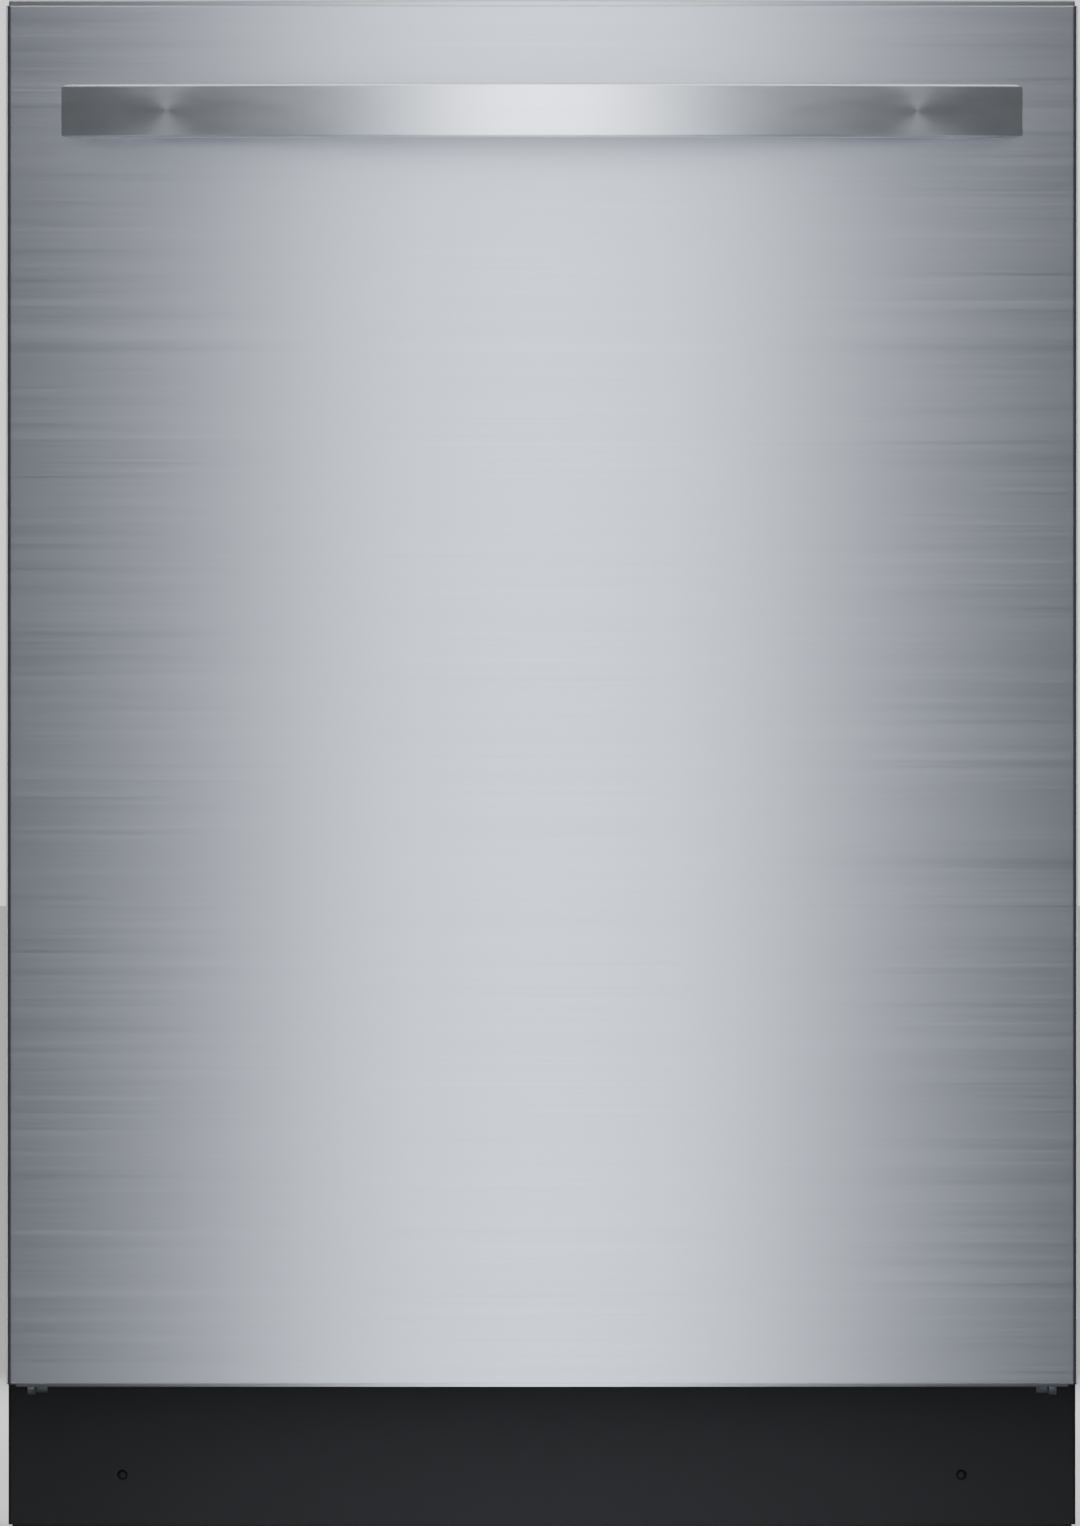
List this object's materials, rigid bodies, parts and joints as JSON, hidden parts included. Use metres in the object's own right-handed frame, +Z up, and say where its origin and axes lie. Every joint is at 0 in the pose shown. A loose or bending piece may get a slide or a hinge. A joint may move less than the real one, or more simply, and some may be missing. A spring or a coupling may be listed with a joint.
{
  "type": "built-in dishwasher",
  "caption": "Built-in dishwasher with a flat brushed steel door, a bowed bar handle, a black toe kick, and pull-out racks over rotating spray arms in a steel tub.",
  "frame": {"origin": "centre of the bounding box on the floor plane", "axes": "+Z up, front of the door faces -Y, +X to the right of a person facing the door"},
  "size_m": [0.598, 0.6479, 0.861],
  "materials": {
    "brushed_panel": "horizontal brushed stainless steel",
    "tub_steel": "bright stainless sheet",
    "zinc": "galvanised sheet",
    "rail_steel": "plain bright steel",
    "black_paint": "satin black paint",
    "black_plastic": "matte black",
    "grey_plastic": "matte grey",
    "light_plastic": "matte light grey",
    "clear_plastic": "milky moulded plastic",
    "display_gloss": "gloss black",
    "coated_wire": "grey nylon coating",
    "rubber": "matte black rubber",
    "felt": "dark felt and bitumen"
  },
  "bodies": {
    "cabinet": {"base_pan": "black_plastic", "tub_wrap": "tub_steel", "tub_back": "tub_steel", "tub_floor": "tub_steel", "front_frame": "tub_steel", "door_gasket": "rubber", "side_frames": "zinc", "top_crossbar": "zinc", "rear_cover": "zinc", "insulation": "felt", "sump": "grey_plastic", "filter_plate": "tub_steel", "circulation_pump": "black_plastic", "drain_pump": "black_plastic", "inlet_valve": "light_plastic", "water_guide": "clear_plastic", "feed_tube": "grey_plastic", "toe_kick": "black_paint", "toe_plate": "black_paint", "toe_kick_screws": "black_paint", "junction_box": "zinc", "mounting_brackets": "zinc", "latch_strike": "rail_steel", "fixed_rails": "rail_steel", "balance_springs": "zinc"},
    "door": {"door_outer_panel": "brushed_panel", "door_inner_panel": "tub_steel", "door_insulation": "felt", "door_handle": "brushed_panel", "control_strip": "brushed_panel", "display_window": "display_gloss", "control_module": "black_plastic", "detergent_dispenser": "light_plastic", "door_latch": "black_plastic", "hinge_arms": "zinc", "door_bottom_seal": "rubber"},
    "filter_cup": {"filter_cup": "grey_plastic"},
    "balance_rods": {"balance_rods": "rail_steel"},
    "foot_front_left": {"foot_front_left": "black_plastic"},
    "foot_front_right": {"foot_front_right": "black_plastic"},
    "foot_rear_left": {"foot_rear_left": "black_plastic"},
    "foot_rear_right": {"foot_rear_right": "black_plastic"},
    "dispenser_lid": {"dispenser_lid": "grey_plastic"},
    "rinse_aid_cap": {"rinse_aid_cap": "grey_plastic"},
    "power_button": {"power_button": "light_plastic"},
    "start_button": {"start_button": "light_plastic"},
    "program_button_left": {"program_button_left": "light_plastic"},
    "program_button_right": {"program_button_right": "light_plastic"},
    "lower_rack": {"lower_rack": "coated_wire", "rack_carriers": "grey_plastic"},
    "lower_front_wheels": {"lower_front_wheels": "grey_plastic"},
    "lower_rear_wheels": {"lower_rear_wheels": "grey_plastic"},
    "fold_tines": {"fold_tines": "coated_wire"},
    "cutlery_basket": {"cutlery_basket": "grey_plastic"},
    "upper_rack": {"upper_rack": "coated_wire"},
    "upper_rails_middle": {"upper_rails_middle": "rail_steel"},
    "third_rack": {"third_rack": "coated_wire"},
    "lower_spray_arm": {"lower_spray_arm": "light_plastic"},
    "middle_spray_arm": {"middle_spray_arm": "light_plastic"},
    "upper_spray_arm": {"upper_spray_arm": "light_plastic"}
  },
  "joints": [
    {"name": "door_hinge", "type": "hinge", "parent": "cabinet", "child": "door", "pos_m": [0, -0.262, 0.095], "axis": [1, 0, 0], "range_deg": [0, 90], "stiffness_Nm_per_rad": 25},
    {"name": "lower_rack_slide", "type": "slide", "parent": "cabinet", "child": "lower_rack", "axis": [0, -1, 0], "range_m": [0, 0.5]},
    {"name": "lower_front_wheels_roll", "type": "hinge", "parent": "lower_rack", "child": "lower_front_wheels", "pos_m": [0, -0.08656, 0.1562], "axis": [1, 0, 0], "continuous": true},
    {"name": "lower_rear_wheels_roll", "type": "hinge", "parent": "lower_rack", "child": "lower_rear_wheels", "pos_m": [0, 0.20878, 0.1562], "axis": [1, 0, 0], "continuous": true},
    {"name": "cutlery_basket_lift", "type": "slide", "parent": "lower_rack", "child": "cutlery_basket", "axis": [0, 0, 1], "range_m": [0, 0.04]},
    {"name": "fold_tines_hinge", "type": "hinge", "parent": "lower_rack", "child": "fold_tines", "pos_m": [0.1, 0, 0.1704], "axis": [0, -1, 0], "range_deg": [0, 85]},
    {"name": "upper_rack_slide", "type": "slide", "parent": "cabinet", "child": "upper_rack", "axis": [0, -1, 0], "range_m": [0, 0.45]},
    {"name": "upper_rails_middle_slide", "type": "slide", "parent": "cabinet", "child": "upper_rails_middle", "axis": [0, -1, 0], "range_m": [0, 0.225]},
    {"name": "third_rack_slide", "type": "slide", "parent": "cabinet", "child": "third_rack", "axis": [0, -1, 0], "range_m": [0, 0.35]},
    {"name": "lower_arm_spin", "type": "hinge", "parent": "cabinet", "child": "lower_spray_arm", "pos_m": [0, 0.033, 0.14], "axis": [0, 0, 1], "continuous": true},
    {"name": "middle_arm_spin", "type": "hinge", "parent": "upper_rack", "child": "middle_spray_arm", "pos_m": [0, 0.033, 0.425], "axis": [0, 0, 1], "continuous": true},
    {"name": "upper_arm_spin", "type": "hinge", "parent": "cabinet", "child": "upper_spray_arm", "pos_m": [0, 0.033, 0.789], "axis": [0, 0, 1], "continuous": true},
    {"name": "filter_cup_twist", "type": "hinge", "parent": "cabinet", "child": "filter_cup", "pos_m": [0.073, 0.033, 0.12], "axis": [0, 0, 1], "range_deg": [0, 90]},
    {"name": "dispenser_lid_slide", "type": "slide", "parent": "door", "child": "dispenser_lid", "axis": [1, 0, 0], "range_m": [0, 0.045]},
    {"name": "rinse_aid_cap_turn", "type": "hinge", "parent": "door", "child": "rinse_aid_cap", "pos_m": [0.06, -0.213, 0.525], "axis": [0, 1, 0], "range_deg": [0, 90]},
    {"name": "power_button_press", "type": "slide", "parent": "door", "child": "power_button", "axis": [0, 0, -1], "range_m": [0, 0.001], "stiffness_N_per_m": 400},
    {"name": "start_button_press", "type": "slide", "parent": "door", "child": "start_button", "axis": [0, 0, -1], "range_m": [0, 0.001], "stiffness_N_per_m": 400},
    {"name": "program_button_left_press", "type": "slide", "parent": "door", "child": "program_button_left", "axis": [0, 0, -1], "range_m": [0, 0.001], "stiffness_N_per_m": 400},
    {"name": "program_button_right_press", "type": "slide", "parent": "door", "child": "program_button_right", "axis": [0, 0, -1], "range_m": [0, 0.001], "stiffness_N_per_m": 400},
    {"name": "balance_rods_slide", "type": "slide", "parent": "cabinet", "child": "balance_rods", "axis": [0, -1, 0], "range_m": [0, 0.05]},
    {"name": "foot_front_left_screw", "type": "slide", "parent": "cabinet", "child": "foot_front_left", "axis": [0, 0, -1], "range_m": [0, 0.025]},
    {"name": "foot_front_right_screw", "type": "slide", "parent": "cabinet", "child": "foot_front_right", "axis": [0, 0, -1], "range_m": [0, 0.025]},
    {"name": "foot_rear_left_screw", "type": "slide", "parent": "cabinet", "child": "foot_rear_left", "axis": [0, 0, -1], "range_m": [0, 0.025]},
    {"name": "foot_rear_right_screw", "type": "slide", "parent": "cabinet", "child": "foot_rear_right", "axis": [0, 0, -1], "range_m": [0, 0.025]}
  ],
  "couplings": [
    {"joint": "lower_rack_slide", "follows": "door_hinge", "m_per_rad": 0.095},
    {"joint": "lower_front_wheels_roll", "follows": "door_hinge", "ratio": 5.2778},
    {"joint": "lower_rear_wheels_roll", "follows": "door_hinge", "ratio": 5.2778},
    {"joint": "upper_rack_slide", "follows": "door_hinge", "m_per_rad": 0.2864},
    {"joint": "upper_rails_middle_slide", "follows": "door_hinge", "m_per_rad": 0.1432},
    {"joint": "third_rack_slide", "follows": "door_hinge", "m_per_rad": 0.2228},
    {"joint": "balance_rods_slide", "follows": "door_hinge", "m_per_rad": 0.03}
  ]
}
